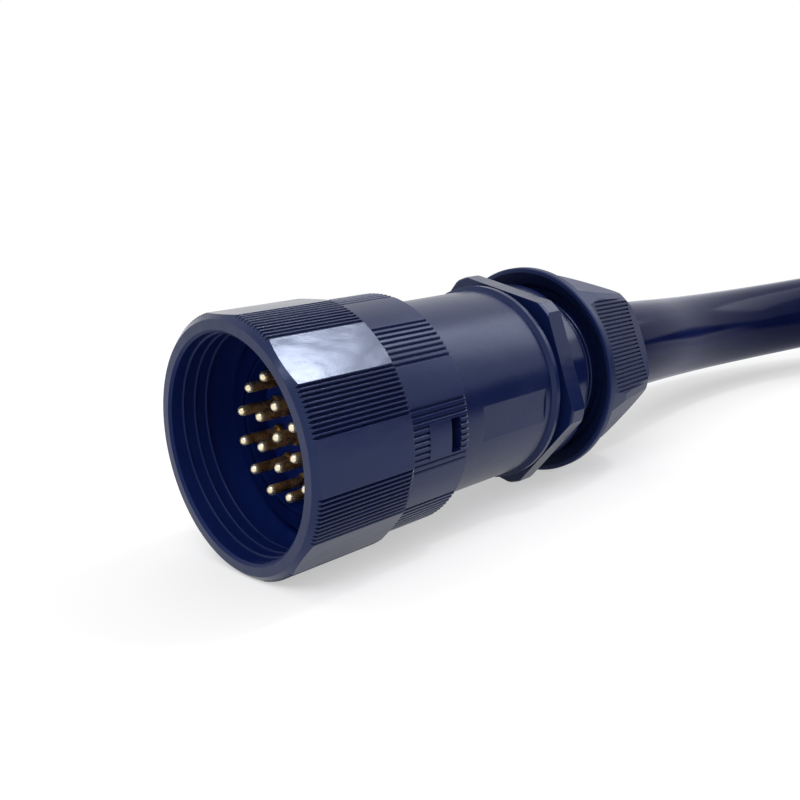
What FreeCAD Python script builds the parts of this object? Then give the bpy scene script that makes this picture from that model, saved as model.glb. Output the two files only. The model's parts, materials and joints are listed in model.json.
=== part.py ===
import FreeCAD, Part
import math
import os

os.makedirs("parts", exist_ok=True)

V = FreeCAD.Vector
AXIS = V(1, 0, 0)
CENTRE = V(0, 0, 0)

# Coupling ring: eight flats with ribbed zones between them
ring_wall = 4.25
ring_length = 26.1
ring_flats = 8
ring_ribbed_angle = 22.5
ring_grooves = 11
ring_groove_depth = 0.75
ring_groove_width = 0.75
ring_front_chamfer = 1.5
ring_back_chamfer = 0.5
ring_thread_step = 0.45
ring_relief_step = 0.9
ring_mouth_chamfer = 0.6
ring_thread_end = 10.4

# Shell of the plug: hub inside the ring, ribbed collar, plain barrel
hub_wall = 3.8
hub_front_x = 17.0
hub_running_gap = 0.08
retainer_groove_depth = 1.0
retainer_groove_width = 1.5
retainer_groove_x = 18.0
retainer_reach = 1.4
end_play = 0.1
collar_step = 4.8
collar_length = 17.35
collar_gap = 0.25
collar_chamfer = 0.4
collar_slope = 0.9
collar_groove_counts = (11, 8, 8, 8, 11, 8, 8, 8)
collar_groove_pitch_angle = 2.85
collar_groove_depth = 0.5
collar_groove_width = 0.8
collar_rib_turn = 2.0
barrel_step = 3.2
barrel_length = 34.9
rear_lip_step = 1.1
rear_lip_width = 1.2
insert_stop_step = 1.7
insert_stop_width = 2.0
wire_chamber_step = 0.4
barrel_wall = 3.55
rear_thread_depth = 16.6
shell_roll = 3.9

# Latch windows and the smooth pads beside them, and the blank field on the barrel
window_width = 3.0
window_back_land = 2.7
window_angle = 15.5
pad_length = 6.5
pad_angle = 17.0
pad_height = 0.03
field_length = 22.6
field_width = 8.3
field_start = 8.2
field_depth = 0.36
field_turn = -2.5

# Keys inside the hub
key_height = 0.9
key_widths = (3.2, 2.0, 2.0)
key_angles = (90.0, 195.0, 345.0)
key_slot_gap = 0.25

# Insulators and the nineteen contacts
contact_circle_radii = (0.0, 7.0, 13.55)
contact_counts = (1, 6, 12)
contact_first_angles = (0.0, 30.0, 15.0)
pin_radius = 1.2
pin_shank_radius = 1.35
pin_collar_radius = 1.75
pin_collar_x = 21.0
pin_tip_x = 11.0
insert_face_x = 22.5
insert_edge_wall = 3.9
insert_gap = 0.1
insert_length = 11.5
contact_lip = 5.0
contact_gap = 0.05
contact_body_radius = 1.55
cup_radius = 1.25
cup_bore_radius = 0.85
cup_length = 10.1
cup_depth = 4.0
skirt_wall = 1.7
latch_angle = 13.0
latch_width = 1.6
latch_reach = 6.1
latch_slit_width = 1.2
latch_slit_front = 1.5
rear_insulator_length = 4.9
rear_insulator_gap = 0.1
face_seal_length = 0.8
face_seal_step = 0.2

# Cable and its cores
cable_diameter = 27.4
core_radius = 1.25
core_gather = 0.6
core_length = 25.0

# Cable gland: hexagonal body, gasket, seal, claw, thrust washer and nut
hex_across_flats = 50.2
hex_corner_radius = 28.1
hex_thickness = 5.0
hex_chamfer = 0.4
hex_turn = -15.6
gasket_thickness = 2.4
gasket_step = 0.3
spigot_length = 14.5
thread_gap = 0.15
gland_collar_step = 3.55
gland_collar_length = 6.0
gland_thread_length = 16.0
gland_wall = 3.3
sheath_gap = 0.5
seal_wall = 3.3
seal_length = 12.0
seal_seat_width = 2.0
seal_squeeze = 0.1
seal_gap = 0.05
claw_flange_length = 2.2
claw_length = 9.2
claw_flange_step = 0.5
claw_tip_wall = 2.8
claw_fingers = 12
claw_slot = 1.6
washer_thickness = 1.2
washer_width = 3.2
thrust_gap = 0.1
nut_start_gap = 4.2
nut_corner_step = 3.9
nut_rim_length = 2.0
nut_rim_wall = 1.2
nut_ramp_length = 2.4
nut_shoulder_step = 5.7
nut_flat_step = 1.4
nut_flat_back_step = 3.1
nut_nose_wall = 3.9
nut_nose_length = 4.6
nut_ribbed_sides = 3
nut_grooves = 23
nut_groove_depth = 0.5
nut_groove_width = 0.72
nut_groove_pitch = 1.1
nut_recess_step = 2.6
nut_recess_width = 3.55
nut_exit_gap = 1.3
nut_turn = -17.0

# Far end: the socket connector and the coil
nose_length = 17.0
nose_thread_gap = 0.95
nose_undercut = 1.0
nose_undercut_width = 2.0
socket_insert_proud = 4.4
socket_hole_lip = 1.5
socket_hole_gap = 0.1
socket_bore_radius = 1.22
socket_bore_depth = 15.0
socket_front_x = 6.0
socket_side_y = -450.0
coil_centre_x = 260.0
coil_centre_y = -276.0
coil_outer_radius = 201.8
coil_hole_radius = 131.7
coil_hole_shift = 13.1
coil_hole_turn = 158.0
coil_layers = 2
tie_thickness = 1.7
tie_gap = 0.3
tie_angle = 11.0
tie_turns = (-15.0, 165.0)

# Places worked out from the sizes
cable_radius = cable_diameter / 2
insert_radius = contact_circle_radii[-1] + contact_body_radius + insert_edge_wall
shell_bore_radius = insert_radius + insert_gap
hub_radius = shell_bore_radius + hub_wall
retainer_radius = hub_radius + retainer_reach
ring_thread_radius = retainer_radius + ring_thread_step
ring_relief_radius = retainer_radius + ring_relief_step
ring_radius = ring_thread_radius + ring_wall
collar_radius = hub_radius + collar_step
barrel_radius = collar_radius - barrel_step
rear_lip_radius = barrel_radius + rear_lip_step
insert_stop_radius = shell_bore_radius - insert_stop_step
wire_chamber_radius = shell_bore_radius + wire_chamber_step
rear_thread_radius = barrel_radius - barrel_wall
gasket_radius = barrel_radius - gasket_step
latch_radius = shell_bore_radius + latch_reach
nose_thread_radius = ring_thread_radius - nose_thread_gap
seal_seat_radius = cable_radius + seal_wall
gland_thread_radius = seal_seat_radius + gland_wall
gland_collar_radius = rear_thread_radius + gland_collar_step
claw_flange_radius = gland_thread_radius - claw_flange_step
claw_bore_radius = cable_radius + sheath_gap
claw_tip_radius = claw_bore_radius + claw_tip_wall
flat_half_angle = 180.0 / ring_flats - ring_ribbed_angle / 2
axis_height = ring_radius * math.cos(math.radians(flat_half_angle))
collar_front = ring_length + collar_gap
collar_back = collar_length
barrel_back = collar_back + barrel_length
hex_front = barrel_back + gasket_thickness
gland_collar_back = hex_front + hex_thickness + gland_collar_length
nut_front = gland_collar_back + nut_start_gap
gland_end = gland_collar_back + gland_thread_length
claw_end = gland_end + claw_length
washer_front = claw_end + thrust_gap
nut_shoulder = washer_front + washer_thickness + thrust_gap
nut_back = nut_shoulder + 6.0
nut_rim_radius = axis_height
insert_back = insert_face_x + insert_length - collar_front
cup_end = insert_back + rear_insulator_length + cup_length - 2.0
sheath_end = cup_end + core_length
overall_length = collar_front + nut_back
origin_x = -overall_length / 2
nut_hole_radius = cable_radius + nut_exit_gap
nut_nose_radius = nut_hole_radius + nut_nose_wall
nut_recess_radius = gland_thread_radius + thread_gap + nut_recess_width
nut_flat_front = nut_recess_radius + nut_flat_step
nut_flat_back = nut_nose_radius + nut_flat_back_step
nut_corner_radius = nut_recess_radius + nut_corner_step
nut_shoulder_radius = nut_nose_radius + nut_shoulder_step
washer_radius = nut_hole_radius + washer_width
coil_floor = tie_thickness + tie_gap
coil_height = coil_layers * cable_diameter


def polar(x, radius, angle):
    turn = math.radians(angle)
    return V(x, -radius * math.cos(turn), radius * math.sin(turn))


def turned(points):
    corners = [V(x, 0, radius) for x, radius in points]
    return Part.Face(Part.makePolygon(corners + corners[:1])).revolve(CENTRE, AXIS, 360)


def tube(start, end, outer, inner):
    return turned([(start, inner), (start, outer), (end, outer), (end, inner)])


def rod(start, end, radius, y=0.0, z=0.0):
    return Part.makeCylinder(radius, end - start, V(start, y, z), AXIS)


def roll(shape, degrees):
    shape.rotate(CENTRE, AXIS, degrees)
    return shape


def contact_places():
    places = []
    for circle, count, first in zip(contact_circle_radii, contact_counts, contact_first_angles):
        for index in range(count):
            places.append(polar(0, circle, first + index * 360.0 / count))
    return places


def sector(start, end, inner, outer, middle, width):
    # block of a ring, as wide as the angle says
    corners = [V(start, 0, inner), V(start, 0, outer), V(end, 0, outer), V(end, 0, inner)]
    block = Part.Face(Part.makePolygon(corners + corners[:1])).revolve(CENTRE, AXIS, width)
    return roll(block, 90.0 - middle - width / 2)


def radial_box(start, end, inner, outer, width, angle):
    box = Part.makeBox(end - start, outer - inner, width, V(start, inner, -width / 2))
    return roll(box, 180.0 - angle)


def rib_profile(radius, groove_counts, pitch, depth, width, turn, flats):
    # outline across the axis: ribbed zones, with flats or round lands between them
    edges = []
    step = 360.0 / len(groove_counts)
    half_mouth = math.degrees(width / 2 / radius)
    first = polar(0, radius, turn - groove_counts[0] * pitch / 2)
    here = first
    for group, grooves in enumerate(groove_counts):
        start = turn + group * step - grooves * pitch / 2
        for groove in range(grooves):
            middle = start + (groove + 0.5) * pitch
            path = [
                polar(0, radius, middle - half_mouth),
                polar(0, radius - depth, middle),
                polar(0, radius, middle + half_mouth),
            ]
            for corner in path:
                edges.append(Part.LineSegment(here, corner).toShape())
                here = corner
        end = start + grooves * pitch
        corner = polar(0, radius, end)
        edges.append(Part.LineSegment(here, corner).toShape())
        here = corner
        after = groove_counts[(group + 1) % len(groove_counts)]
        following = turn + (group + 1) * step - after * pitch / 2
        corner = first if group == len(groove_counts) - 1 else polar(0, radius, following)
        if flats:
            edges.append(Part.LineSegment(here, corner).toShape())
        else:
            between = polar(0, radius, (end + following) / 2)
            edges.append(Part.Arc(here, between, corner).toShape())
        here = corner
    return Part.Face(Part.Wire(edges))


def ribbed_bar(start, end, *outline):
    face = rib_profile(*outline)
    face.translate(V(start, 0, 0))
    return face.extrude(V(end - start, 0, 0))


def make_coupling_ring():
    shoulder_x = retainer_groove_x + retainer_groove_width + end_play
    shoulder_bore = hub_radius + hub_running_gap
    front_radius = ring_radius - ring_front_chamfer
    back_radius = ring_radius - ring_back_chamfer
    blank = turned([
        (0, ring_thread_radius + ring_mouth_chamfer),
        (0, front_radius),
        (ring_front_chamfer, ring_radius),
        (ring_length - ring_back_chamfer, ring_radius),
        (ring_length, back_radius),
        (ring_length, shoulder_bore),
        (shoulder_x, shoulder_bore),
        (shoulder_x, ring_relief_radius),
        (ring_thread_end, ring_relief_radius),
        (ring_thread_end, ring_thread_radius),
        (ring_mouth_chamfer, ring_thread_radius),
    ])
    bar = ribbed_bar(
        0, ring_length, ring_radius, [ring_grooves] * ring_flats,
        ring_ribbed_angle / ring_grooves, ring_groove_depth, ring_groove_width,
        180.0 / ring_flats, True,
    )
    return blank.common(bar)


def make_retainer():
    start = retainer_groove_x + end_play / 2
    end = retainer_groove_x + retainer_groove_width - end_play / 2
    inner = hub_radius - retainer_groove_depth + end_play
    ring = tube(start, end, retainer_radius, inner)
    split = radial_box(start, end, inner - 1.0, retainer_radius + 1.0, 2.4, 250.0)
    return ring.cut(split)


def make_keys(start, end):
    keys = []
    for width, angle in zip(key_widths, key_angles):
        inner = shell_bore_radius - key_height
        keys.append(radial_box(start, end, inner, shell_bore_radius + 0.5, width, angle))
    return keys


def rear_bore():
    # hollow of a shell behind its collar front, the same in both connectors
    stop = insert_back + 9.9
    chamber = stop + insert_stop_width
    thread = barrel_back - rear_thread_depth
    return turned([
        (stop, 0), (stop, insert_stop_radius), (chamber, insert_stop_radius),
        (chamber, wire_chamber_radius), (thread, wire_chamber_radius),
        (thread, rear_thread_radius), (barrel_back, rear_thread_radius), (barrel_back, 0),
    ])


def shell_rear():
    # collar and barrel, measured from the collar's front face
    lip_x = barrel_back - rear_lip_width
    outside = turned([
        (0, 0), (0, collar_radius - collar_chamfer), (collar_chamfer, collar_radius),
        (collar_back - 0.3, collar_radius), (collar_back + collar_slope, barrel_radius),
        (lip_x - 0.6, barrel_radius), (lip_x, rear_lip_radius),
        (barrel_back, rear_lip_radius), (barrel_back, 0),
    ])
    ribs = ribbed_bar(
        0, collar_back, collar_radius, collar_groove_counts, collar_groove_pitch_angle,
        collar_groove_depth, collar_groove_width, collar_rib_turn, False,
    )
    barrel = rod(collar_back, barrel_back, collar_radius)
    window_end = collar_back - window_back_land
    window_start = window_end - window_width
    body = outside.common(ribs.fuse(barrel))
    for side in (0.0, 180.0):
        pad = sector(
            window_start - pad_length, window_start, barrel_radius, collar_radius + pad_height,
            side, pad_angle,
        )
        body = body.fuse(pad)
    for side in (0.0, 180.0):
        body = body.cut(sector(
            window_start, window_end, insert_stop_radius, collar_radius + 1.0, side, window_angle,
        ))
    field = radial_box(
        collar_back + field_start, collar_back + field_start + field_length,
        barrel_radius - field_depth, barrel_radius + 1.0, field_width, field_turn,
    )
    return body.cut(field)


def make_plug_shell():
    groove_end = retainer_groove_x + retainer_groove_width
    groove_radius = hub_radius - retainer_groove_depth
    hub = turned([
        (hub_front_x, 0), (hub_front_x, hub_radius - 0.3), (hub_front_x + 0.3, hub_radius),
        (retainer_groove_x, hub_radius), (retainer_groove_x, groove_radius),
        (groove_end, groove_radius), (groove_end, hub_radius),
        (collar_front, hub_radius), (collar_front, 0),
    ])
    rear = shell_rear()
    bore = rear_bore()
    rear.translate(V(collar_front, 0, 0))
    bore.translate(V(collar_front, 0, 0))
    front_bore = rod(hub_front_x, collar_front + insert_back + 9.9, shell_bore_radius)
    shell = hub.fuse(rear).cut(front_bore).cut(bore)
    for key in make_keys(hub_front_x + 0.5, insert_face_x):
        shell = shell.fuse(key)
    return shell.removeSplitter()


def insert_tail(front):
    # insulator body with its skirt and two latch tongues, measured from the collar front
    radius = insert_radius
    inner = radius - skirt_wall
    skirt_end = insert_back + 9.8
    body = rod(front, insert_back, radius).fuse(tube(insert_back, skirt_end, radius, inner))
    hook_end = collar_back - window_back_land - 0.6
    for side in (0.0, 180.0):
        hook = sector(
            hook_end - latch_width, hook_end, inner + 0.4, latch_radius, side, latch_angle,
        )
        body = body.fuse(hook)
        for edge in (-1, 1):
            slit_turn = side + edge * (latch_angle / 2 + 3.0)
            slit = radial_box(
                insert_back + latch_slit_front, skirt_end, inner - 0.5, radius + 0.5,
                latch_slit_width, slit_turn,
            )
            body = body.cut(slit)
    return body


def bored(body, stretches):
    # contact holes: each stretch is a start, an end and a radius
    drills = []
    for place in contact_places():
        for start, end, radius in stretches:
            drills.append(rod(start, end, radius, place.y, place.z))
    return body.cut(Part.makeCompound(drills))


def make_pin_insert():
    face = insert_face_x - collar_front
    lip = face + contact_lip
    insert = bored(insert_tail(face), [
        (face, lip, pin_shank_radius + contact_gap),
        (lip, insert_back, contact_body_radius + contact_gap),
    ])
    insert.translate(V(collar_front, 0, 0))
    return insert


def make_rear_insulator():
    radius = insert_radius - skirt_wall - rear_insulator_gap
    end = insert_back + rear_insulator_length
    ledge = end - 2.0
    return bored(rod(insert_back, end, radius), [
        (insert_back, ledge, contact_body_radius + contact_gap),
        (ledge, end, cup_radius + contact_gap),
    ])


def contact_rear():
    # outline of a contact behind the insulator lip, with its open solder cup
    ledge = insert_back + rear_insulator_length - 2.0
    return [
        (ledge - contact_gap, contact_body_radius), (ledge - contact_gap, cup_radius),
        (cup_end, cup_radius), (cup_end, cup_bore_radius),
        (cup_end - cup_depth, cup_bore_radius), (cup_end - cup_depth, 0),
    ]


def make_pin():
    face = insert_face_x - collar_front
    lip = face + contact_lip + contact_gap
    tip = pin_tip_x - collar_front
    collar_start = pin_collar_x - collar_front
    collar_end = face - contact_gap
    pin = turned([
        (tip + pin_radius, 0), (tip + pin_radius, pin_radius), (collar_start, pin_radius),
        (collar_start, pin_collar_radius), (collar_end, pin_collar_radius),
        (collar_end, pin_shank_radius), (lip, pin_shank_radius), (lip, contact_body_radius),
    ] + contact_rear())
    dome = Part.makeSphere(pin_radius, V(tip + pin_radius, 0, 0))
    pin = pin.fuse(dome)
    pin.translate(V(collar_front, 0, 0))
    return pin


def make_cores():
    cores = []
    end = cup_end + core_length
    for place in contact_places():
        start_point = V(cup_end, place.y, place.z)
        end_point = V(end, place.y * core_gather, place.z * core_gather)
        along = end_point - start_point
        reach = along.Length * 0.1
        along.normalize()
        core = Part.makeCylinder(
            core_radius, along.Length * (end - cup_end) + 3 * reach,
            start_point - along * reach, along,
        )
        slab = Part.makeBox(end - cup_end, 60, 60, V(cup_end, -30, -30))
        cores.append(core.common(slab))
    return Part.makeCompound(cores)


def make_gland_gasket():
    return tube(barrel_back, hex_front, gasket_radius, rear_thread_radius)


def make_gland_body():
    spigot_radius = rear_thread_radius - thread_gap
    thread_start = gland_collar_back
    hex_back = hex_front + hex_thickness
    corner = hex_across_flats / 2 / math.cos(math.radians(30.0))
    corners = [polar(hex_front, corner, 30.0 + 60.0 * side) for side in range(6)]
    plate = Part.Face(Part.makePolygon(corners + corners[:1])).extrude(V(hex_thickness, 0, 0))
    rounding = turned([
        (hex_front, 0), (hex_front, hex_corner_radius - hex_chamfer),
        (hex_front + hex_chamfer, hex_corner_radius),
        (hex_back - hex_chamfer, hex_corner_radius),
        (hex_back, hex_corner_radius - hex_chamfer), (hex_back, 0),
    ])
    plate = roll(plate.common(rounding), hex_turn)
    stem = turned([
        (hex_front - spigot_length, 0), (hex_front - spigot_length, spigot_radius),
        (hex_front, spigot_radius), (hex_back, gland_collar_radius),
        (thread_start - 0.4, gland_collar_radius), (thread_start, gland_collar_radius - 0.4),
        (thread_start, gland_thread_radius), (gland_end - 0.6, gland_thread_radius),
        (gland_end, gland_thread_radius - 0.6), (gland_end, 0),
    ])
    pocket_x = gland_end - seal_length
    ledge_x = pocket_x - seal_seat_width
    passage = turned([
        (hex_front - spigot_length, 0), (hex_front - spigot_length, seal_seat_radius),
        (ledge_x, seal_seat_radius), (ledge_x, claw_bore_radius), (pocket_x, claw_bore_radius),
        (pocket_x, seal_seat_radius), (gland_end, seal_seat_radius), (gland_end, 0),
    ])
    return plate.fuse(stem).cut(passage)


def make_gland_seal():
    outer = seal_seat_radius - seal_gap
    start = gland_end - seal_length
    ridge = 0.4
    return turned([
        (start, cable_radius - seal_squeeze), (start, outer - 0.6), (start + 1.0, outer),
        (gland_end - 1.0, outer), (gland_end, outer - 0.6),
        (gland_end, cable_radius - seal_squeeze + ridge),
        (gland_end - 1.5, cable_radius - seal_squeeze),
    ])


def make_clamp_claw():
    inner = claw_bore_radius
    flange_end = gland_end + claw_flange_length
    claw = turned([
        (gland_end, inner), (gland_end, claw_flange_radius), (flange_end, claw_flange_radius),
        (flange_end, claw_flange_radius - 0.6), (claw_end, claw_tip_radius), (claw_end, inner),
    ])
    slots = []
    for index in range(claw_fingers):
        slots.append(radial_box(
            flange_end, claw_end + 1.0, inner - 1.0, claw_flange_radius,
            claw_slot, index * 360.0 / claw_fingers,
        ))
    return claw.cut(Part.makeCompound(slots))


def make_slip_washer():
    washer_back = washer_front + washer_thickness
    return tube(washer_front, washer_back, washer_radius, nut_hole_radius)


def nut_flat_radius(x):
    # distance of the tapered flats from the axis
    rib_start = nut_front + nut_rim_length + nut_ramp_length
    rib_end = nut_back - nut_nose_length
    share = (x - rib_start) / (rib_end - rib_start)
    return nut_flat_front + share * (nut_flat_back - nut_flat_front)


def make_nut_blank():
    rim_end = nut_front + nut_rim_length
    ramp_end = rim_end + nut_ramp_length
    nose_x = nut_back - nut_nose_length
    thread_bore = gland_thread_radius + thread_gap
    recess_x = nut_front + nut_recess_step
    thread_x = recess_x + 3.0
    cone_x = gland_end + claw_flange_length + 2.3
    cone_end = washer_radius + 0.5
    outline = [
        (nut_front, nut_rim_radius - nut_rim_wall), (nut_front, nut_rim_radius - 0.3),
        (nut_front + 0.3, nut_rim_radius), (rim_end, nut_rim_radius),
        (ramp_end + 4.0, nut_corner_radius), (nose_x, nut_shoulder_radius),
    ]
    hole = [
        (nut_back, nut_hole_radius + 0.8), (nut_back - 0.8, nut_hole_radius),
        (nut_shoulder, nut_hole_radius), (nut_shoulder, cone_end), (cone_x, thread_bore),
        (thread_x, thread_bore), (thread_x - 0.8, nut_recess_radius - 1.6),
        (recess_x, nut_recess_radius), (nut_front, nut_rim_radius - nut_rim_wall),
    ]
    points = [V(x, 0, radius) for x, radius in outline]
    edges = [Part.LineSegment(a, b).toShape() for a, b in zip(points, points[1:])]
    nose_end = V(nut_back, 0, nut_nose_radius)
    nose_middle = V(nose_x + 0.66 * nut_nose_length, 0, nut_nose_radius + 3.3)
    edges.append(Part.Arc(points[-1], nose_middle, nose_end).toShape())
    inside = [nose_end] + [V(x, 0, radius) for x, radius in hole]
    edges += [Part.LineSegment(a, b).toShape() for a, b in zip(inside, inside[1:])]
    return Part.Face(Part.Wire(edges)).revolve(CENTRE, AXIS, 360)


def make_nut_flats():
    # tapered hexagon that the domed blank is cut down to, behind its round rim
    rings = []
    ramp_end = nut_front + nut_rim_length + nut_ramp_length
    for x in (nut_front + nut_rim_length - 1.0, nut_back + 1.0):
        corner = nut_flat_radius(x) / math.cos(math.radians(30.0))
        corners = [polar(x, corner, 30.0 + 60.0 * side) for side in range(6)]
        rings.append(Part.makePolygon(corners + corners[:1]))
    prism = Part.makeLoft(rings, True, True)
    rim_end = nut_front + nut_rim_length
    ramp = turned([
        (nut_front - 1.0, 0), (nut_front - 1.0, nut_rim_radius + 1.0),
        (rim_end, nut_rim_radius + 1.0), (rim_end, nut_rim_radius),
        (ramp_end, nut_flat_front - 0.6), (ramp_end, 0),
    ])
    return prism.fuse(ramp)


def make_nut_grooves():
    start = nut_front + nut_rim_length + nut_ramp_length
    end = nut_back - nut_nose_length - 0.4
    cutters = []
    for side in range(nut_ribbed_sides):
        for index in range(nut_grooves):
            offset = (index - (nut_grooves - 1) / 2) * nut_groove_pitch
            ends = []
            for x in (start, end):
                top = nut_flat_radius(x) + 0.1
                floor = top - 0.1 - nut_groove_depth
                half = nut_groove_width / 2
                corners = [
                    V(x, top, offset - half), V(x, top, offset + half), V(x, floor, offset),
                ]
                ends.append(Part.makePolygon(corners + corners[:1]))
            groove = Part.makeLoft(ends, True, True)
            cutters.append(roll(groove, 180.0 - side * 360.0 / nut_ribbed_sides))
    return Part.makeCompound(cutters)


def make_gland_nut():
    nut = make_nut_blank().common(make_nut_flats()).cut(make_nut_grooves())
    return roll(nut, nut_turn)


def make_face_seal():
    outer = hub_radius - face_seal_step
    inner = shell_bore_radius + face_seal_step
    return tube(hub_front_x - face_seal_length, hub_front_x, outer, inner)


def make_socket_shell():
    undercut_radius = nose_thread_radius - nose_undercut
    undercut_x = nose_length - nose_undercut_width
    nose = turned([
        (0, 0), (0, nose_thread_radius - 0.8), (0.8, nose_thread_radius),
        (undercut_x, nose_thread_radius), (undercut_x, undercut_radius),
        (nose_length, undercut_radius), (nose_length, 0),
    ])
    rear = shell_rear()
    bore = rear_bore()
    rear.translate(V(nose_length, 0, 0))
    bore.translate(V(nose_length, 0, 0))
    front_bore = rod(0, nose_length + insert_back + 9.9, shell_bore_radius)
    return nose.fuse(rear).cut(front_bore).cut(bore).removeSplitter()


def make_socket_insert():
    front = -socket_insert_proud - nose_length
    lip = front + socket_hole_lip
    insert = bored(insert_tail(front), [
        (front, lip, pin_radius + socket_hole_gap),
        (lip, insert_back, contact_body_radius + contact_gap),
    ])
    slot_end = -nose_length
    for width, angle in zip(key_widths, key_angles):
        insert = insert.cut(radial_box(
            front, slot_end, shell_bore_radius - key_height - key_slot_gap,
            shell_bore_radius + 1.0, width + 2 * key_slot_gap, angle,
        ))
    return insert


def make_socket_contacts():
    front = -socket_insert_proud - nose_length + socket_hole_lip + contact_gap
    contact = turned(
        [(front + socket_bore_depth, 0), (front + socket_bore_depth, socket_bore_radius)]
        + [(front, socket_bore_radius), (front, contact_body_radius)] + contact_rear()
    )
    contacts = []
    for place in contact_places():
        copy = contact.copy()
        copy.translate(V(0, place.y, place.z))
        contacts.append(copy)
    return Part.makeCompound(contacts)


def tangent_route(points):
    # straight runs joined by arcs as large as the two runs allow
    edges = []
    radii = []
    here = points[0]
    for before, corner, after in zip(points, points[1:], points[2:]):
        back = before - corner
        ahead = after - corner
        turn = math.pi - back.getAngle(ahead)
        reach = 0.45 * min(back.Length, ahead.Length)
        radius = reach / math.tan(turn / 2)
        back.normalize()
        ahead.normalize()
        start = corner + back * reach
        end = corner + ahead * reach
        inward = back + ahead
        inward.normalize()
        middle = corner + inward * (radius / math.cos(turn / 2) - radius)
        edges.append(Part.LineSegment(here, start).toShape())
        edges.append(Part.Arc(start, middle, end).toShape())
        radii.append(round(radius, 1))
        here = end
    edges.append(Part.LineSegment(here, points[-1]).toShape())
    return Part.Wire(edges), radii


def make_cord(points, name):
    path, radii = tangent_route(points)
    ahead = points[1] - points[0]
    section = Part.Wire(Part.makeCircle(cable_radius, points[0], ahead))
    cord = path.makePipeShell([section], True, False)
    expected = math.pi * cable_radius ** 2 * path.Length
    print(name, "radii", radii, "length", round(path.Length, 1),
          "volume share", round(cord.Volume / expected, 4))
    return cord


def rounded_wheel(inner, outer, grow, rounded_radius):
    # ring about the upright axis, as high as the wound turns, with one side rounded
    floor = coil_floor - grow
    height = coil_height + 2 * grow
    profile = Part.makeBox(outer - inner, 1, height, V(inner, 0, floor))
    edges = []
    for edge in profile.Edges:
        middle = edge.CenterOfMass
        if abs(middle.x - rounded_radius) < 0.01 and abs(middle.y - 0.5) < 0.01:
            edges.append(edge)
    profile = profile.makeFillet(cable_radius + grow - 0.01, edges)
    face = min(profile.Faces, key=lambda side: side.CenterOfMass.y)
    return face.revolve(CENTRE, V(0, 0, 1), 360)


def coil_form(grow):
    # wound turns: one more lies inside on the hole's near side, so the hole is off centre
    outer = coil_outer_radius + grow
    hole = coil_hole_radius - grow
    wheel = rounded_wheel(hole / 2, outer, grow, outer)
    ring = rounded_wheel(hole, 2 * outer, grow, hole)
    turn = math.radians(coil_hole_turn)
    ring.translate(V(math.cos(turn), math.sin(turn), 0) * coil_hole_shift)
    return wheel.common(ring)


def laid_coil(shape):
    shape.translate(V(coil_centre_x + origin_x, coil_centre_y, 0))
    return shape


def make_tie(turn):
    band = coil_form(tie_gap + tie_thickness).cut(coil_form(tie_gap))
    reach = 2 * coil_outer_radius
    wedge = Part.makeCylinder(reach, reach, V(0, 0, -reach / 2), V(0, 0, 1), tie_angle)
    wedge.rotate(CENTRE, V(0, 0, 1), turn - tie_angle / 2)
    return laid_coil(band.common(wedge))


def lead_route():
    start = collar_front + sheath_end
    hand_points = [
        (start, 0.0, axis_height),
        (138.0, 0.0, axis_height),
        (206.0, 13.5, 21.8),
        (270.0, 0.2, 21.5),
        (332.0, -42.0, 28.4),
        (370.0, -90.5, 35.5),
        (405.0, -142.0, 41.5),
    ]
    return [V(x + origin_x, y, z) for x, y, z in hand_points]


def tail_route():
    end = socket_front_x + nose_length + sheath_end
    hand_points = [
        (328.0, -452.5, 15.7),
        (267.0, -462.5, 15.8),
        (201.0, -457.5, 20.8),
        (132.0, socket_side_y, axis_height),
        (end, socket_side_y, axis_height),
    ]
    return [V(x + origin_x, y, z) for x, y, z in hand_points]


def save(name, shape, x=0.0, y=0.0, rolled=0.0):
    piece = shape.copy()
    if rolled:
        roll(piece, rolled)
    piece.translate(V(x, y, 0 if name in on_the_floor else axis_height))
    solids = piece.Solids
    piece = solids[0] if len(solids) == 1 else Part.makeCompound(solids)
    piece.exportStep("parts/" + name + ".step")
    print(name, len(solids), "solid", round(piece.Volume), "valid", piece.isValid())


def save_gland(prefix, x, y):
    save(prefix + "gland_gasket", gland_gasket, x, y)
    save(prefix + "gland_body", gland_body, x, y)
    save(prefix + "gland_seal", gland_seal, x, y)
    save(prefix + "clamp_claw", clamp_claw, x, y)
    save(prefix + "slip_washer", slip_washer, x, y)
    save(prefix + "gland_nut", gland_nut, x, y)


on_the_floor = ("cable_lead", "cable_coil", "cable_tail", "coil_tie_1", "coil_tie_2")
gland_gasket = make_gland_gasket()
gland_body = make_gland_body()
gland_seal = make_gland_seal()
clamp_claw = make_clamp_claw()
slip_washer = make_slip_washer()
gland_nut = make_gland_nut()
rear_insulator = make_rear_insulator()
cores = make_cores()

plug_x = origin_x + collar_front
save("coupling_ring", make_coupling_ring(), origin_x)
save("ring_retainer", make_retainer(), origin_x)
save("face_seal", make_face_seal(), origin_x)
save("plug_shell", make_plug_shell(), origin_x, 0, shell_roll)
save("pin_insert", make_pin_insert(), origin_x, 0, shell_roll)
pin = make_pin()
for number, place in enumerate(contact_places(), 1):
    contact = pin.copy()
    contact.translate(V(0, place.y, place.z))
    save("pin_{:02d}".format(number), contact, origin_x, 0, shell_roll)
save("rear_insulator", rear_insulator, plug_x, 0, shell_roll)
save("core_wires", cores, plug_x, 0, shell_roll)
save_gland("", plug_x, 0)

socket_x = origin_x + socket_front_x + nose_length
save("socket_shell", make_socket_shell(), origin_x + socket_front_x, socket_side_y)
save("socket_insert", make_socket_insert(), socket_x, socket_side_y)
save("socket_contacts", make_socket_contacts(), socket_x, socket_side_y)
save("socket_rear_insulator", rear_insulator, socket_x, socket_side_y)
save("socket_core_wires", cores, socket_x, socket_side_y)
save_gland("socket_", socket_x, socket_side_y)

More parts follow.
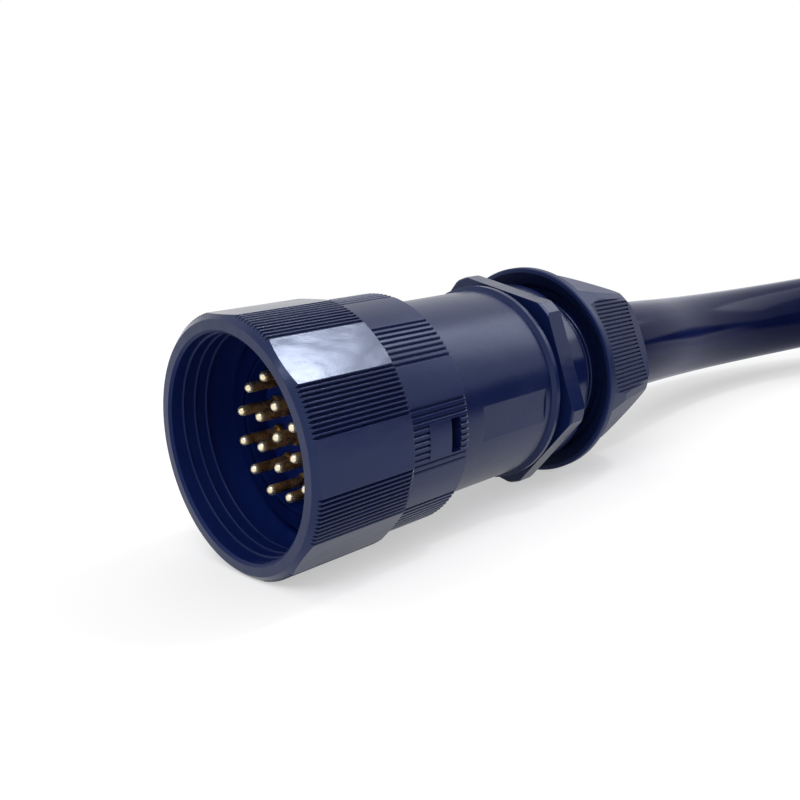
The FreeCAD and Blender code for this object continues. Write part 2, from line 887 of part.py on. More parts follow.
save("cable_lead", make_cord(lead_route(), "cable_lead"))
save("cable_coil", laid_coil(coil_form(0)))
save("cable_tail", make_cord(tail_route(), "cable_tail"))
for number, turn in enumerate(tie_turns, 1):
    save("coil_tie_{}".format(number), make_tie(turn))
print("overall length", round(overall_length, 2), "axis height", round(axis_height, 3))
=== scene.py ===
import json
import math

import bpy
from mathutils import Matrix, Vector


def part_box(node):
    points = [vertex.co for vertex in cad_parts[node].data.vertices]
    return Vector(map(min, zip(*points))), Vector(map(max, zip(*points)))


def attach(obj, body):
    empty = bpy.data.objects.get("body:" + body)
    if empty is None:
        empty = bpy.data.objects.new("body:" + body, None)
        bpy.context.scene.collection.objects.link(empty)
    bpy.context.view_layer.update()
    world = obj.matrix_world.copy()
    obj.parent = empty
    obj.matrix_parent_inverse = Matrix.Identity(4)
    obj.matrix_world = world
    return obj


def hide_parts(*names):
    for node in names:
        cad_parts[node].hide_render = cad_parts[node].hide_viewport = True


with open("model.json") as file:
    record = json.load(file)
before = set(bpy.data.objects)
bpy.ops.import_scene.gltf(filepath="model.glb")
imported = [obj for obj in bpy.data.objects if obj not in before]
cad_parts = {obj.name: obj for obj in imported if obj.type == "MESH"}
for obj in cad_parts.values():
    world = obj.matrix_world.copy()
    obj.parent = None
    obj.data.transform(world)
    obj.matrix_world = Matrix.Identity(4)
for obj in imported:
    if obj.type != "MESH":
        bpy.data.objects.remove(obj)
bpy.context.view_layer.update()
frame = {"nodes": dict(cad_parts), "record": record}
nodes = frame["nodes"]
mm = 0.001


# camera, as the photograph was taken: beside the open mouth and a little above the plug

cameraView = {
    "place": (-0.159265, -0.160603, 0.075975),
    "right": (0.72848, -0.68144, -0.07042),
    "up": (0.19378, 0.10638, 0.97526),
    "lens": 40.96,
    "sensor": 36.0,
}


def buildCamera():
    print("camera")
    data = bpy.data.cameras.new("camera")
    data.lens = cameraView["lens"]
    data.sensor_width = cameraView["sensor"]
    data.clip_start = 0.01
    data.clip_end = 60.0
    camera = bpy.data.objects.new("camera", data)
    bpy.context.scene.collection.objects.link(camera)
    right = Vector(cameraView["right"]).normalized()
    up = Vector(cameraView["up"])
    back = right.cross(up).normalized()
    up = back.cross(right)
    turn = Matrix((right, up, back)).transposed().to_4x4()
    camera.matrix_world = Matrix.Translation(cameraView["place"]) @ turn
    bpy.context.scene.camera = camera


# places shared by the pieces, in metres, from the frame

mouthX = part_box("coupling_ring")[0][0]
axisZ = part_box("gland_nut")[1][2] / 2
plugBody = "plug_and_cable"


# shader helpers

noiseSpan = (0.3, 0.7)  # a noise texture stays mostly between these


def newMaterial(name):
    material = bpy.data.materials.new(name)
    material.use_nodes = True
    tree = material.node_tree
    return material, tree, tree.nodes["Principled BSDF"]


def addNode(tree, kind, **settings):
    node = tree.nodes.new(kind)
    for key, value in settings.items():
        if hasattr(node, key):
            setattr(node, key, value)
        else:
            node.inputs[key.replace("_", " ")].default_value = value
    return node


def objectPoints(tree, stretch=(1.0, 1.0, 1.0)):
    coordinates = addNode(tree, "ShaderNodeTexCoord")
    mapping = addNode(tree, "ShaderNodeMapping", Scale=stretch)
    tree.links.new(coordinates.outputs["Object"], mapping.inputs["Vector"])
    return mapping.outputs["Vector"]


def noise(tree, points, scale, detail=3.0):
    texture = addNode(tree, "ShaderNodeTexNoise", Scale=scale, Detail=detail)
    tree.links.new(points, texture.inputs["Vector"])
    return texture.outputs["Fac"]


def spread(tree, value, low, high, fromLow=noiseSpan[0], fromHigh=noiseSpan[1]):
    mapRange = addNode(tree, "ShaderNodeMapRange", interpolation_type="SMOOTHSTEP")
    mapRange.inputs["From Min"].default_value = fromLow
    mapRange.inputs["From Max"].default_value = fromHigh
    mapRange.inputs["To Min"].default_value = low
    mapRange.inputs["To Max"].default_value = high
    tree.links.new(value, mapRange.inputs["Value"])
    return mapRange.outputs["Result"]


def tones(tree, value, dark, light):
    ramp = addNode(tree, "ShaderNodeValToRGB")
    ramp.color_ramp.interpolation = "EASE"
    for stop, position, colour in zip(ramp.color_ramp.elements, noiseSpan, (dark, light)):
        stop.position = position
        stop.color = (*colour, 1.0)
    tree.links.new(value, ramp.inputs["Fac"])
    return ramp.outputs["Color"]


def blend(tree, share, first, second):
    # first colour where the share is 0, second where it is 1
    mix = addNode(tree, "ShaderNodeMix", data_type="RGBA")
    tree.links.new(share, mix.inputs[0])
    tree.links.new(first, mix.inputs[6])
    tree.links.new(second, mix.inputs[7])
    return mix.outputs[2]


# the walls of the open mouth are left matt by the mould, and the outside is smooth; the walls'
# colour is painted shade, made lighter towards the back by painted light

mouthWalls = {
    "radius": 25.2,  # millimetres, as softness, depth and backReach are
    "softness": 0.4,
    "depth": 30.0,
    "gloss": 0.45,
    "mirror": 0.30,
    # front and back: painted shade colours for the walls, the back one lifted by painted light
    "front": (0.0014, 0.0062, 0.0520),
    "back": (0.0026, 0.0125, 0.1150),
    "backReach": (8.0, 23.0),
    "backShare": 0.9,
    "cloudShare": 0.1,
}


def insideMouth(tree):
    # 1 on the walls of the mouth, 0 outside
    fromAxis = addNode(tree, "ShaderNodeVectorMath", operation="MULTIPLY_ADD")
    fromAxis.inputs[1].default_value = (0.0, 1.0, 1.0)
    fromAxis.inputs[2].default_value = (0.0, 0.0, -axisZ)
    points = objectPoints(tree)
    tree.links.new(points, fromAxis.inputs[0])
    radius = addNode(tree, "ShaderNodeVectorMath", operation="LENGTH")
    tree.links.new(fromAxis.outputs["Vector"], radius.inputs[0])
    limit = mouthWalls["radius"] * mm
    soft = mouthWalls["softness"] * mm
    near = spread(tree, radius.outputs["Value"], 1.0, 0.0, limit, limit + soft)
    along = addNode(tree, "ShaderNodeSeparateXYZ")
    tree.links.new(points, along.inputs["Vector"])
    depth = mouthX + mouthWalls["depth"] * mm
    front = spread(tree, along.outputs["X"], 1.0, 0.0, depth, depth + soft)
    both = addNode(tree, "ShaderNodeMath", operation="MULTIPLY")
    tree.links.new(near, both.inputs[0])
    tree.links.new(front, both.inputs[1])
    return both.outputs["Value"]


def paintedMouthShade(tree, cloud):
    # painted shade on the mouth's walls, bluer and lighter towards the back of the mouth, where
    # painted light lifts the real shade, a little cloudy
    along = addNode(tree, "ShaderNodeSeparateXYZ")
    tree.links.new(objectPoints(tree), along.inputs["Vector"])
    start, end = (mouthX + reach * mm for reach in mouthWalls["backReach"])
    backLiftShare = spread(tree, along.outputs["X"], 0.0, mouthWalls["backShare"], start, end)
    cloudy = addNode(tree, "ShaderNodeMath", operation="MULTIPLY_ADD")
    cloudy.inputs[1].default_value = mouthWalls["cloudShare"]
    tree.links.new(cloud, cloudy.inputs[0])
    tree.links.new(backLiftShare, cloudy.inputs[2])
    ramp = addNode(tree, "ShaderNodeValToRGB")
    ramp.color_ramp.elements[0].color = (*mouthWalls["front"], 1.0)
    ramp.color_ramp.elements[1].color = (*mouthWalls["back"], 1.0)
    tree.links.new(cloudy.outputs["Value"], ramp.inputs["Fac"])
    return ramp.outputs["Color"]


def roundedBump(tree, shader, height, strength, distance, edge):
    # soft edges first, then the fine grain on top of them
    bump = addNode(tree, "ShaderNodeBump", Strength=strength, Distance=distance)
    tree.links.new(height, bump.inputs["Height"])
    if edge:
        bevel = addNode(tree, "ShaderNodeBevel", samples=6, Radius=edge)
        tree.links.new(bevel.outputs["Normal"], bump.inputs["Normal"])
    tree.links.new(bump.outputs["Normal"], shader.inputs["Normal"])


# finishes: grain and cloud are noise scales, and depth, edge and waviness are in metres

housingFinish = {"dark": (0.0036, 0.0076, 0.0420), "light": (0.0050, 0.0102, 0.0520),
                 "sheen": (0.60, 0.72, 1.0), "gloss": (0.14, 0.22), "grain": 2600.0,
                 "depth": 0.00003, "edge": 0.00016, "waviness": 0.0005}

plasticFinish = {
    "housing": housingFinish,
    "shell": {**housingFinish, "sheen": (0.55, 0.68, 1.0), "gloss": (0.24, 0.32),
              "edge": 0.00012, "waviness": 0.0003},
    "nut": {**housingFinish, "sheen": (0.45, 0.60, 1.0), "gloss": (0.40, 0.48),
            "waviness": 0.0003},
    "insulator": {"dark": (0.0016, 0.0030, 0.0180), "light": (0.0024, 0.0044, 0.0250),
                  "sheen": (0.35, 0.45, 1.0), "gloss": (0.50, 0.65), "grain": 3200.0,
                  "depth": 0.00003, "edge": 0.0001, "waviness": 0.0},
    "claw": {"dark": (0.010, 0.011, 0.014), "light": (0.016, 0.017, 0.022),
             "sheen": (0.8, 0.8, 1.0), "gloss": (0.45, 0.6), "grain": 2400.0,
             "depth": 0.00003, "edge": 0.0001, "waviness": 0.0},
}

moulding = {"ior": 1.44, "mirror": 0.5, "cloud": 38.0, "waves": 130.0, "bump": 0.35}


def plastic(name):
    finish = plasticFinish[name]
    material, tree, shader = newMaterial(name + "Plastic")
    points = objectPoints(tree)
    cloud = noise(tree, points, moulding["cloud"], 4.0)
    grain = noise(tree, points, finish["grain"], 2.0)
    colour = tones(tree, cloud, finish["dark"], finish["light"])
    gloss = spread(tree, cloud, *finish["gloss"])
    inside = insideMouth(tree)
    # inside the mouth the colour gives way to the painted shade of its walls
    tree.links.new(blend(tree, inside, colour, paintedMouthShade(tree, cloud)),
                   shader.inputs["Base Color"])
    rougher = addNode(tree, "ShaderNodeMath", operation="MAXIMUM")
    tree.links.new(gloss, rougher.inputs[0])
    tree.links.new(spread(tree, inside, 0.0, mouthWalls["gloss"], 0.0, 1.0), rougher.inputs[1])
    tree.links.new(rougher.outputs["Value"], shader.inputs["Roughness"])
    tree.links.new(spread(tree, inside, moulding["mirror"], mouthWalls["mirror"], 0.0, 1.0),
                   shader.inputs["Specular IOR Level"])
    shader.inputs["IOR"].default_value = moulding["ior"]
    shader.inputs["Specular Tint"].default_value = (*finish["sheen"], 1.0)
    height = grain
    if finish["waviness"]:
        # the faint sink marks of a moulded flat, which break up its highlight
        wave = noise(tree, objectPoints(tree, (0.6, 1.0, 1.0)), moulding["waves"], 2.0)
        share = addNode(tree, "ShaderNodeMath", operation="MULTIPLY_ADD")
        share.inputs[1].default_value = finish["waviness"] / finish["depth"]
        tree.links.new(wave, share.inputs[0])
        tree.links.new(grain, share.inputs[2])
        height = share.outputs["Value"]
    roundedBump(tree, shader, height, moulding["bump"], finish["depth"], finish["edge"])
    return material


goldFinish = {
    "worn": (0.30, 0.16, 0.055),
    "bright": (0.70, 0.47, 0.21),
    "metal": 0.88,
    # paler gold on the tips near the mouth: a painted highlight
    "tip": ((0.84, 0.72, 0.46), (0.94, 0.86, 0.66)),
    "tipReach": (12.0, 12.8),  # millimetres behind the mouth
    "gloss": (0.20, 0.34),
    "cloud": 420.0,
    "lathe": 5200.0,
    "bump": 0.25,
    "depth": 0.00002,
    "edge": 0.00005,
}


def contactGold():
    material, tree, shader = newMaterial("contactGold")
    points = objectPoints(tree)
    rings = noise(tree, objectPoints(tree, (1.0, 0.02, 0.02)), goldFinish["lathe"], 1.0)
    cloud = noise(tree, points, goldFinish["cloud"], 3.0)
    along = addNode(tree, "ShaderNodeSeparateXYZ")
    tree.links.new(points, along.inputs["Vector"])
    # the tips near the mouth get a painted highlight of paler gold, fading into the body's colour
    # behind them
    tipEnd, bodyStart = (mouthX + reach * mm for reach in goldFinish["tipReach"])
    pastPaintedHighlight = spread(tree, along.outputs["X"], 0.0, 1.0, tipEnd, bodyStart)
    body = tones(tree, cloud, goldFinish["worn"], goldFinish["bright"])
    tree.links.new(blend(tree, pastPaintedHighlight, tones(tree, cloud, *goldFinish["tip"]), body),
                   shader.inputs["Base Color"])
    tree.links.new(spread(tree, cloud, *goldFinish["gloss"]), shader.inputs["Roughness"])
    shader.inputs["Metallic"].default_value = goldFinish["metal"]
    roundedBump(tree, shader, rings, *(goldFinish[key] for key in ("bump", "depth", "edge")))
    return material


steelFinish = {"tone": ((0.42, 0.42, 0.43), (0.60, 0.60, 0.61)), "gloss": (0.25, 0.4),
               "brush": 4200.0, "bump": 0.2, "depth": 0.00002, "edge": 0.0001}


def springSteel():
    material, tree, shader = newMaterial("springSteel")
    brushed = noise(tree, objectPoints(tree, (1.0, 0.05, 0.05)), steelFinish["brush"], 2.0)
    tree.links.new(tones(tree, brushed, *steelFinish["tone"]), shader.inputs["Base Color"])
    tree.links.new(spread(tree, brushed, *steelFinish["gloss"]), shader.inputs["Roughness"])
    shader.inputs["Metallic"].default_value = 1.0
    roundedBump(tree, shader, brushed, *(steelFinish[key] for key in ("bump", "depth", "edge")))
    return material


rubberFinish = {
    # the seal's navy colour copies the painted shade of the mouth's walls, so it shows no darker
    # ring
    "seal": {"dark": (0.0012, 0.0052, 0.0440), "light": (0.0018, 0.0066, 0.0540),
             "sheen": (0.3, 0.4, 1.0), "gloss": (0.6, 0.8), "grain": 1800.0, "depth": 0.00006,
             "bloom": 0.0, "bloomTone": (1.0, 1.0, 1.0)},
    "core": {"dark": (0.010, 0.010, 0.011), "light": (0.018, 0.018, 0.020),
             "sheen": (1.0, 1.0, 1.0), "gloss": (0.4, 0.55), "grain": 1400.0, "depth": 0.00003,
             "bloom": 0.0, "bloomTone": (1.0, 1.0, 1.0)},
    "sheath": {"dark": (0.0016, 0.0036, 0.0220), "light": (0.0026, 0.0050, 0.0290),
               "sheen": (0.40, 0.52, 1.0), "gloss": (0.13, 0.18), "grain": 900.0,
               "depth": 0.00002, "bloom": 0.13, "bloomTone": (0.08, 0.14, 1.0)},
}

rubberSkin = {"ior": 1.13, "cloud": 55.0, "bloomGloss": 0.35, "bump": 0.3}


def rubber(name):
    finish = rubberFinish[name]
    material, tree, shader = newMaterial(name + "Rubber")
    points = objectPoints(tree)
    cloud = noise(tree, points, rubberSkin["cloud"], 3.0)
    grain = noise(tree, points, finish["grain"], 2.0)
    tree.links.new(tones(tree, cloud, finish["dark"], finish["light"]), shader.inputs["Base Color"])
    tree.links.new(spread(tree, cloud, *finish["gloss"]), shader.inputs["Roughness"])
    shader.inputs["IOR"].default_value = rubberSkin["ior"]
    shader.inputs["Specular Tint"].default_value = (*finish["sheen"], 1.0)
    # the faint blue bloom of a new sheath, seen along its sides
    shader.inputs["Sheen Weight"].default_value = finish["bloom"]
    shader.inputs["Sheen Roughness"].default_value = rubberSkin["bloomGloss"]
    shader.inputs["Sheen Tint"].default_value = (*finish["bloomTone"], 1.0)
    roundedBump(tree, shader, grain, rubberSkin["bump"], finish["depth"], 0.0)
    return material


webbingFinish = {"dark": (0.006, 0.006, 0.007), "light": (0.022, 0.022, 0.025), "weave": 75.0,
                 "unevenness": 1.5, "gloss": (0.75, 0.95), "bump": 0.6, "depth": 0.0003}


def webbing():
    material, tree, shader = newMaterial("strapWebbing")
    points = objectPoints(tree)
    weave = addNode(tree, "ShaderNodeTexWave", Scale=webbingFinish["weave"],
                    Distortion=webbingFinish["unevenness"], Detail=2.0)
    tree.links.new(points, weave.inputs["Vector"])
    tree.links.new(tones(tree, weave.outputs["Fac"], webbingFinish["dark"], webbingFinish["light"]),
                   shader.inputs["Base Color"])
    tree.links.new(spread(tree, weave.outputs["Fac"], *webbingFinish["gloss"], 0.0, 1.0),
                   shader.inputs["Roughness"])
    roundedBump(tree, shader, weave.outputs["Fac"], webbingFinish["bump"], webbingFinish["depth"],
                0.0)
    return material


def makeFinishes():
    print("finishes")
    return {
        "housing_plastic": plastic("housing"),
        "shell_plastic": plastic("shell"),
        "nut_plastic": plastic("nut"),
        "insulator_plastic": plastic("insulator"),
        "claw_plastic": plastic("claw"),
        "contact_gold": contactGold(),
        "spring_steel": springSteel(),
        "seal_rubber": rubber("seal"),
        "core_sheath": rubber("core"),
        "cable_sheath": rubber("sheath"),
        "tie_strap": webbing(),
    }


# pieces of the housing's plastic with a duller skin
skins = {"plug_shell": "shell_plastic", "socket_shell": "shell_plastic",
         "gland_nut": "nut_plastic", "socket_gland_nut": "nut_plastic"}


def dressNodes(finishes):
    print("finishes on the frame")
    for part in frame["record"]["subparts"]:
        data = nodes[part["node"]].data
        data.materials.clear()
        data.materials.append(finishes[skins.get(part["node"], part["material_slot"])])


# cable: the seen run, the put-away coil and the run to the far connector

cable = {
    "diameter": 27.4 * mm,
    "length": 5.0,
    "lead": ((72.0, 0.0, 28.443), (78.8, 0.0, 28.443), (138.0, 0.0, 28.443), (206.0, 13.5, 21.8),
             (270.0, 0.2, 21.5), (332.0, -42.0, 28.4), (370.0, -90.5, 35.5), (405.0, -142.0, 41.5)),
    "tail": ((267.0, -462.5, 15.8), (201.0, -457.5, 20.8), (132.0, -450.0, 28.443),
             (75.2, -450.0, 28.443), (68.65, -450.0, 28.443)),
    "exit": (98.0, 0.0, 28.443),
    "stepsPerPoint": 8,
    "roundness": 9,
}

coil = {
    "centre": (260.0, -276.0),
    "startAngle": 25.0,
    "pointsPerTurn": 20,
    # turns wound so far, then radius and height of the cable's middle there
    "path": ((0.0, 187.8, 43.1), (0.5, 187.8, 43.1), (0.95, 160.2, 43.1), (1.5, 160.2, 43.1),
             (1.95, 132.6, 43.1), (2.25, 132.6, 15.7), (2.65, 160.2, 15.7), (3.25, 160.2, 15.7),
             (3.65, 187.8, 15.7), (4.26, 187.8, 15.7)),
}


def coilPlace(turn):
    # level circles with a soft step between them: inwards on top, down, then outwards below
    for (start, *place), (end, *nextPlace) in zip(coil["path"], coil["path"][1:]):
        if turn <= end:
            share = (turn - start) / (end - start)
            share = share * share * (3 - 2 * share)
            return tuple(a + share * (b - a) for a, b in zip(place, nextPlace))
    return coil["path"][-1][1:]


def coilPoints():
    points = []
    stretch = 1 / math.cos(math.pi / coil["pointsPerTurn"])  # the spline cuts inside its points
    count = int(coil["path"][-1][0] * coil["pointsPerTurn"])
    for index in range(count + 1):
        turn = index / coil["pointsPerTurn"]
        radius, height = coilPlace(turn)
        angle = math.radians(coil["startAngle"] - 360.0 * turn)
        points.append((coil["centre"][0] + stretch * radius * math.cos(angle),
                       coil["centre"][1] + stretch * radius * math.sin(angle), height))
    return points


def buildCable(finish):
    print("cable")
    data = bpy.data.curves.new("powerCable", "CURVE")
    data.dimensions = "3D"
    spline = data.splines.new("NURBS")
    points = [*cable["lead"], *coilPoints(), *cable["tail"]]
    spline.points.add(len(points) - 1)
    for point, (x, y, z) in zip(spline.points, points):
        point.co = (mouthX + x * mm, y * mm, z * mm, 1.0)
    spline.order_u = 3
    spline.use_endpoint_u = True
    spline.use_smooth = True
    data.resolution_u = cable["stepsPerPoint"]
    data.render_resolution_u = cable["stepsPerPoint"]
    data.bevel_depth = cable["diameter"] / 2
    data.bevel_resolution = cable["roundness"]
    data.use_fill_caps = True
    data.materials.append(finish)
    piece = bpy.data.objects.new("powerCable", data)
    bpy.context.scene.collection.objects.link(piece)
    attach(piece, plugBody)
    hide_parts("cable_lead", "cable_coil", "cable_tail")
    return piece


# straps round the coil, drawn tight over the wound turns

strap = {"turns": (-15.0, 165.0), "width": 24.0, "thickness": 1.7, "steps": 72}


def turnsAt(angle):
    # middles of the cable where the coil passes this angle: (radius, height)
    first = (coil["startAngle"] - angle) / 360.0 % 1.0
    places = []
    while first < coil["path"][-1][0]:
        places.append(coilPlace(first))
        first += 1.0
    return places


def buildStrap(number, finish):
    angle = strap["turns"][number]
    middles = turnsAt(angle)
    outline = []
    reach = cable["diameter"] / mm / 2
    for step in range(strap["steps"]):
        way = 2 * math.pi * step / strap["steps"]
        ahead = (math.cos(way), math.sin(way))
        middle = max(middles, key=lambda place: place[0] * ahead[0] + place[1] * ahead[1])
        outline.append((middle[0] + reach * ahead[0], middle[1] + reach * ahead[1]))
    turn = Matrix.Rotation(math.radians(angle), 4, "Z")
    centre = Vector((mouthX + coil["centre"][0] * mm, coil["centre"][1] * mm, 0))
    corners = []
    for side in (-0.5, 0.5):
        for radius, height in outline:
            place = turn @ Vector((radius * mm, side * strap["width"] * mm, height * mm))
            corners.append(place + centre)
    count = strap["steps"]
    faces = [(a, (a + 1) % count, (a + 1) % count + count, a + count) for a in range(count)]
    data = bpy.data.meshes.new("coilStrap")
    data.from_pydata(corners, [], faces)
    data.materials.append(finish)
    data.shade_smooth()
    piece = bpy.data.objects.new("coilStrap{}".format(number + 1), data)
    bpy.context.scene.collection.objects.link(piece)
    wall = piece.modifiers.new("wall", "SOLIDIFY")
    wall.thickness = strap["thickness"] * mm
    wall.offset = -1.0
    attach(piece, plugBody)
    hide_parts("coil_tie_{}".format(number + 1))
    return piece


# threads, by Geometry Nodes: one rounded ridge wound along the axis, thin at both ends

threads = {
    "ringThread": {"start": 1.4, "pitch": 3.0, "turns": 3.1, "radius": 24.8, "height": 0.55,
                   "width": 0.8, "body": "ring", "y": 0.0, "slot": "housing_plastic"},
    "glandThread": {"start": 92.6, "pitch": 1.5, "turns": 5.0, "radius": 20.2, "height": 0.6,
                    "width": 1.0, "body": plugBody, "y": 0.0, "slot": "housing_plastic"},
    "noseThread": {"start": 8.0, "pitch": 3.0, "turns": 4.0, "radius": 23.75, "height": 0.65,
                   "width": 1.1, "body": plugBody, "y": -450.0, "slot": "housing_plastic"},
    "socketGlandThread": {"start": 89.25, "pitch": 1.5, "turns": 5.0, "radius": 20.2,
                          "height": 0.6, "width": 1.0, "body": plugBody, "y": -450.0,
                          "slot": "housing_plastic"},
}

ridgeShape = {"stepsPerTurn": 72, "corners": 10, "thinShare": 0.06, "thinEnd": 0.05}


def threadTree():
    tree = bpy.data.node_groups.new("threadRidge", "GeometryNodeTree")
    face = tree.interface
    face.new_socket("Geometry", in_out="OUTPUT", socket_type="NodeSocketGeometry")
    for name in ("Pitch", "Turns", "Radius", "Ridge Height", "Ridge Width"):
        face.new_socket(name, in_out="INPUT", socket_type="NodeSocketFloat")
    face.new_socket("Place", in_out="INPUT", socket_type="NodeSocketVector")
    face.new_socket("Finish", in_out="INPUT", socket_type="NodeSocketMaterial")
    links = tree.links
    given = tree.nodes.new("NodeGroupInput").outputs
    result = tree.nodes.new("NodeGroupOutput")

    rise = tree.nodes.new("ShaderNodeMath")
    rise.operation = "MULTIPLY"
    links.new(given["Pitch"], rise.inputs[0])
    links.new(given["Turns"], rise.inputs[1])
    helix = tree.nodes.new("GeometryNodeCurveSpiral")
    helix.inputs["Resolution"].default_value = ridgeShape["stepsPerTurn"]
    links.new(given["Turns"], helix.inputs["Rotations"])
    links.new(given["Radius"], helix.inputs["Start Radius"])
    links.new(given["Radius"], helix.inputs["End Radius"])
    links.new(rise.outputs["Value"], helix.inputs["Height"])
    upright = tree.nodes.new("GeometryNodeSetCurveNormal")
    upright.mode = "Z_UP"
    links.new(helix.outputs["Curve"], upright.inputs["Curve"])

    # the ridge grows out of the wall over the first share of its length, at both ends
    along = tree.nodes.new("GeometryNodeSplineParameter")
    fromEnd = tree.nodes.new("ShaderNodeMath")
    fromEnd.operation = "PINGPONG"
    fromEnd.inputs[1].default_value = 0.5
    links.new(along.outputs["Factor"], fromEnd.inputs[0])
    grow = tree.nodes.new("ShaderNodeMapRange")
    grow.inputs["From Max"].default_value = ridgeShape["thinShare"]
    grow.inputs["To Min"].default_value = ridgeShape["thinEnd"]
    links.new(fromEnd.outputs["Value"], grow.inputs["Value"])

    profile = tree.nodes.new("GeometryNodeCurvePrimitiveCircle")
    profile.inputs["Resolution"].default_value = ridgeShape["corners"]
    profile.inputs["Radius"].default_value = 1.0
    halfWidth = tree.nodes.new("ShaderNodeMath")
    halfWidth.operation = "MULTIPLY"
    halfWidth.inputs[1].default_value = 0.5
    links.new(given["Ridge Width"], halfWidth.inputs[0])
    size = tree.nodes.new("ShaderNodeCombineXYZ")
    links.new(given["Ridge Height"], size.inputs["X"])
    links.new(halfWidth.outputs["Value"], size.inputs["Y"])
    flattened = tree.nodes.new("GeometryNodeTransform")
    links.new(profile.outputs["Curve"], flattened.inputs["Geometry"])
    links.new(size.outputs["Vector"], flattened.inputs["Scale"])

    ridge = tree.nodes.new("GeometryNodeCurveToMesh")
    ridge.inputs["Fill Caps"].default_value = True
    links.new(upright.outputs["Curve"], ridge.inputs["Curve"])
    links.new(flattened.outputs["Geometry"], ridge.inputs["Profile Curve"])
    links.new(grow.outputs["Result"], ridge.inputs["Scale"])
    laid = tree.nodes.new("GeometryNodeTransform")
    laid.inputs["Rotation"].default_value = (0.0, math.pi / 2, 0.0)
    links.new(ridge.outputs["Mesh"], laid.inputs["Geometry"])
    links.new(given["Place"], laid.inputs["Translation"])
    real = tree.nodes.new("GeometryNodeRealizeInstances")
    links.new(laid.outputs["Geometry"], real.inputs["Geometry"])
    finished = tree.nodes.new("GeometryNodeSetMaterial")
    links.new(real.outputs["Geometry"], finished.inputs["Geometry"])
    links.new(given["Finish"], finished.inputs["Material"])
    links.new(finished.outputs["Geometry"], result.inputs[0])
    return tree


def grownMesh(name, tree, values):
    # the tree's result as a plain piece, with no modifier left on it
    base = bpy.data.objects.new(name + "Base", bpy.data.meshes.new(name))
    bpy.context.scene.collection.objects.link(base)
    growth = base.modifiers.new(name, "NODES")
    growth.node_group = tree
    for item in tree.interface.items_tree:
        if item.in_out == "INPUT" and item.name in values:
            growth[item.identifier] = values[item.name]
    graph = bpy.context.evaluated_depsgraph_get()
    data = bpy.data.meshes.new_from_object(base.evaluated_get(graph))
    bpy.data.objects.remove(base)
    piece = bpy.data.objects.new(name, data)
    bpy.context.scene.collection.objects.link(piece)
    data.shade_smooth()
    return piece


def buildThreads(finishes):
    print("threads")
    tree = threadTree()
    pieces = {}
    for name, thread in threads.items():
        piece = grownMesh(name, tree, {
            "Pitch": thread["pitch"] * mm,
            "Turns": thread["turns"],
            "Radius": thread["radius"] * mm,
            "Ridge Height": thread["height"] * mm,
            "Ridge Width": thread["width"] * mm,
            "Place": (mouthX + thread["start"] * mm, thread["y"] * mm, axisZ),
            "Finish": finishes[thread["slot"]],
        })
        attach(piece, thread["body"])
        pieces[name] = piece
    return pieces


# studio: pale floor, white surroundings, soft lamps

studio = {
    "floorTone": (0.88, 0.88, 0.89),
    "floorReach": 25.0,
    "nearShare": 0.48,
    "nearReach": 0.15,
    "farReach": 0.55,
    "ambient": 0.80,
    "lamps": {
        "back": {"place": (0.395, -0.165, 0.68), "aim": (-0.05, 0.0, 0.04), "size": (0.07, 0.10),
                 "power": 0.90},
        "wash": {"place": (0.76, -0.24, 0.68), "aim": (-0.02, 0.0, 0.04), "size": (0.45, 0.70),
                 "power": 2.2},
        "top": {"place": (0.05, 0.30, 0.75), "aim": (0.02, 0.0, 0.03), "size": (0.9, 0.3),
                "power": 0.8},
        "key": {"place": (-0.45, -0.30, 0.70), "aim": (0.0, 0.0, 0.03), "size": (0.5, 0.35),
                "power": 3.0},
    },
}


def seenRay(tree):
    # 1 for rays that show the surroundings: straight, mirrored or through glass
    path = addNode(tree, "ShaderNodeLightPath")
    both = addNode(tree, "ShaderNodeMath", operation="MAXIMUM")
    three = addNode(tree, "ShaderNodeMath", operation="MAXIMUM")
    tree.links.new(path.outputs["Is Camera Ray"], both.inputs[0])
    tree.links.new(path.outputs["Is Glossy Ray"], both.inputs[1])
    tree.links.new(both.outputs["Value"], three.inputs[0])
    tree.links.new(path.outputs["Is Transmission Ray"], three.inputs[1])
    return three.outputs["Value"]


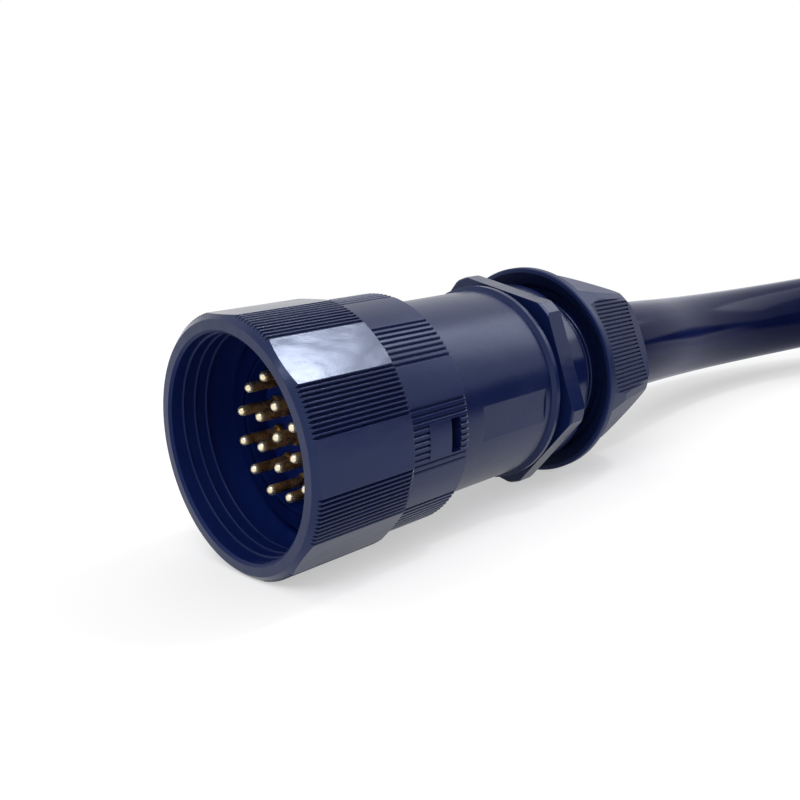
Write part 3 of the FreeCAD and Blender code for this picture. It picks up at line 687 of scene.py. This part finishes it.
def buildFloor():
    print("floor")
    material = bpy.data.materials.new("paleFloor")
    material.use_nodes = True
    tree = material.node_tree
    tree.nodes.clear()
    card = addNode(tree, "ShaderNodeBsdfDiffuse")
    card.inputs["Color"].default_value = (*studio["floorTone"], 1.0)
    pale = addNode(tree, "ShaderNodeEmission")
    pale.inputs["Color"].default_value = (1.0, 1.0, 1.0, 1.0)
    # the shadow stays beside the object, and the card turns plain white further off
    distance = addNode(tree, "ShaderNodeVectorMath", operation="LENGTH")
    tree.links.new(objectPoints(tree), distance.inputs[0])
    paleShare = spread(tree, distance.outputs["Value"], studio["nearShare"], 1.0,
                       studio["nearReach"], studio["farReach"])
    share = addNode(tree, "ShaderNodeMath", operation="MULTIPLY")
    tree.links.new(paleShare, share.inputs[0])
    tree.links.new(seenRay(tree), share.inputs[1])
    mix = addNode(tree, "ShaderNodeMixShader")
    tree.links.new(share.outputs["Value"], mix.inputs["Fac"])
    tree.links.new(card.outputs["BSDF"], mix.inputs[1])
    tree.links.new(pale.outputs["Emission"], mix.inputs[2])
    output = addNode(tree, "ShaderNodeOutputMaterial")
    tree.links.new(mix.outputs["Shader"], output.inputs["Surface"])
    data = bpy.data.meshes.new("floor")
    reach = studio["floorReach"]
    corners = [(-reach, -reach, 0), (reach, -reach, 0), (reach, reach, 0), (-reach, reach, 0)]
    data.from_pydata(corners, [], [(0, 1, 2, 3)])
    data.materials.append(material)
    floor = bpy.data.objects.new("floor", data)
    bpy.context.scene.collection.objects.link(floor)


def buildSurroundings():
    print("surroundings and lamps")
    world = bpy.data.worlds.new("surroundings")
    world.use_nodes = True
    tree = world.node_tree
    background = tree.nodes["Background"]
    background.inputs["Color"].default_value = (1.0, 1.0, 1.0, 1.0)
    level = spread(tree, seenRay(tree), studio["ambient"], 1.0, 0.0, 1.0)
    tree.links.new(level, background.inputs["Strength"])
    bpy.context.scene.world = world
    for name, lamp in studio["lamps"].items():
        data = bpy.data.lights.new(name, "AREA")
        data.shape = "RECTANGLE"
        data.size, data.size_y = lamp["size"]
        data.energy = lamp["power"]
        light = bpy.data.objects.new(name, data)
        light.location = lamp["place"]
        way = Vector(lamp["aim"]) - Vector(lamp["place"])
        light.rotation_euler = way.to_track_quat("-Z", "Y").to_euler()
        bpy.context.scene.collection.objects.link(light)
    bpy.context.scene.view_settings.view_transform = "Standard"


buildCamera()
finishes = makeFinishes()
powerCable = buildCable(finishes["cable_sheath"])
print("straps")
straps = [buildStrap(number, finishes["tie_strap"]) for number in range(len(strap["turns"]))]
dressNodes(finishes)
threadPieces = buildThreads(finishes)
buildFloor()
buildSurroundings()

farPieces = [nodes[name] for name in sorted(nodes) if name.startswith("socket_")]
farPieces += [*straps, threadPieces["noseThread"], threadPieces["socketGlandThread"]]

bpy.context.view_layer.update()
